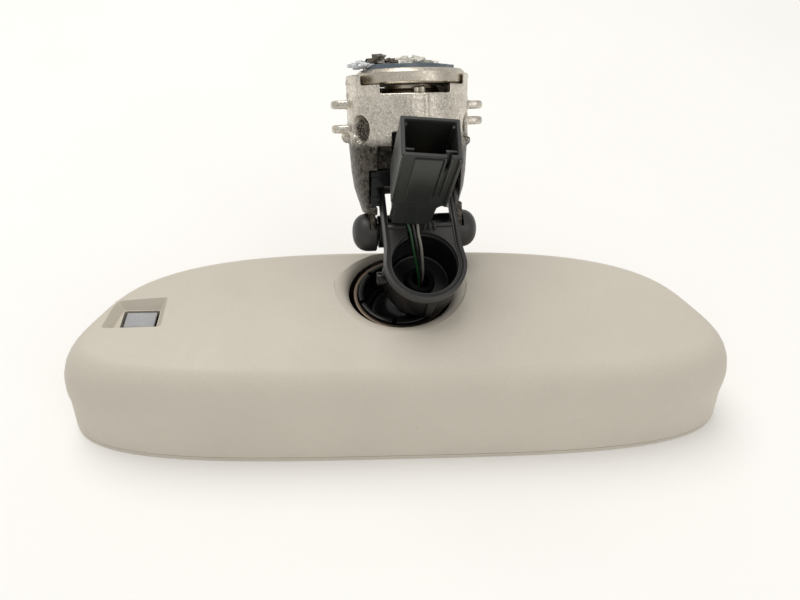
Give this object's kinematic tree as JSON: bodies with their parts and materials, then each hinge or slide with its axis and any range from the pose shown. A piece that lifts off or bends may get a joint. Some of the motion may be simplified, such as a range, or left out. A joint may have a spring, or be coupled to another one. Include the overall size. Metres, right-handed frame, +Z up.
{
  "type": "interior rearview mirror",
  "caption": "Interior rearview mirror: a glass-down mirror head on a ball joint, a tubular arm with an electrical connector, and a hinged cast foot with its windscreen button.",
  "frame": {"origin": "centre of the bounding box on the surface that the mirror head lies on, glass down", "axes": "+X along the mirror head's long side, +Y from its lower edge to its upper edge, +Z up out of the back of the head towards the windscreen foot"},
  "size_m": [0.2493, 0.1093, 0.116],
  "materials": {
    "housing_plastic": "fine grained",
    "bezel_plastic": "fine grained",
    "black_plastic": "satin",
    "carrier_plastic": "matte",
    "liner_plastic": "smooth",
    "header_nylon": "smooth",
    "chip_epoxy": "matte",
    "board_laminate": "satin",
    "clear_plastic": "clear",
    "clear_glass": "polished",
    "mirror_glass": "mirror coated",
    "seal_rubber": "matte",
    "foam": "soft",
    "copper": "bright",
    "brass": "bright",
    "spring_steel": "satin",
    "zinc_casting": "shot blasted zinc",
    "button_metal": "satin",
    "green_wire": "smooth",
    "black_wire": "smooth",
    "grey_wire": "smooth"
  },
  "bodies": {
    "mirror_head": {"rear_housing": "housing_plastic", "bezel_ring": "bezel_plastic", "front_glass": "clear_glass", "glass_seal": "seal_rubber", "rear_glass": "mirror_glass", "foam_pad": "foam", "bus_clip_upper": "copper", "bus_clip_lower": "copper", "glass_carrier": "carrier_plastic", "socket_screw_1": "spring_steel", "socket_screw_2": "spring_steel", "socket_screw_3": "spring_steel", "socket_screw_4": "spring_steel", "board_screw_1": "spring_steel", "board_screw_2": "spring_steel", "circuit_board": "board_laminate", "control_chip": "chip_epoxy", "capacitor": "chip_epoxy", "board_connector": "header_nylon", "glare_sensor": "chip_epoxy", "ambient_sensor": "chip_epoxy", "light_pipe": "clear_plastic", "sensor_window": "clear_plastic", "ball_socket": "black_plastic", "retaining_ring": "spring_steel", "head_wire_green": "green_wire", "head_wire_black": "black_wire", "head_wire_grey": "grey_wire"},
    "tilt_liner": {"upper_ball_liner": "liner_plastic"},
    "pan_liner": {"lower_ball_liner": "liner_plastic"},
    "arm": {"pivot_ball": "black_plastic", "arm_body": "black_plastic", "arm_shroud": "black_plastic", "connector_housing": "black_plastic", "connector_pins": "brass", "arm_wire_green": "green_wire", "arm_wire_black": "black_wire", "arm_wire_grey": "grey_wire", "hinge_axle": "spring_steel", "hinge_cap_left": "black_plastic", "hinge_cap_right": "black_plastic", "hinge_washer_left": "liner_plastic", "hinge_washer_right": "liner_plastic"},
    "foot": {"mount_foot": "zinc_casting", "windscreen_button": "button_metal", "retaining_spring": "spring_steel", "spring_pin": "button_metal", "side_insert": "black_plastic"}
  },
  "joints": [
    {"name": "head_tilt", "type": "hinge", "parent": "mirror_head", "child": "tilt_liner", "pos_m": [0.00107, -0.0037, 0.0252], "axis": [1, 0, 0], "range_deg": [-12, 1]},
    {"name": "head_pan", "type": "hinge", "parent": "tilt_liner", "child": "pan_liner", "pos_m": [0.00107, -0.0037, 0.0252], "axis": [0, 1, 0], "range_deg": [-12, 1]},
    {"name": "head_swivel", "type": "hinge", "parent": "pan_liner", "child": "arm", "pos_m": [0.00107, -0.0037, 0.0252], "axis": [0, 0, 1], "range_deg": [-10, 10]},
    {"name": "arm_hinge", "type": "hinge", "parent": "arm", "child": "foot", "pos_m": [0.0065, 0.00924, 0.05763], "axis": [0.9935, 0.1034, -0.0473], "range_deg": [-20, 5]}
  ]
}
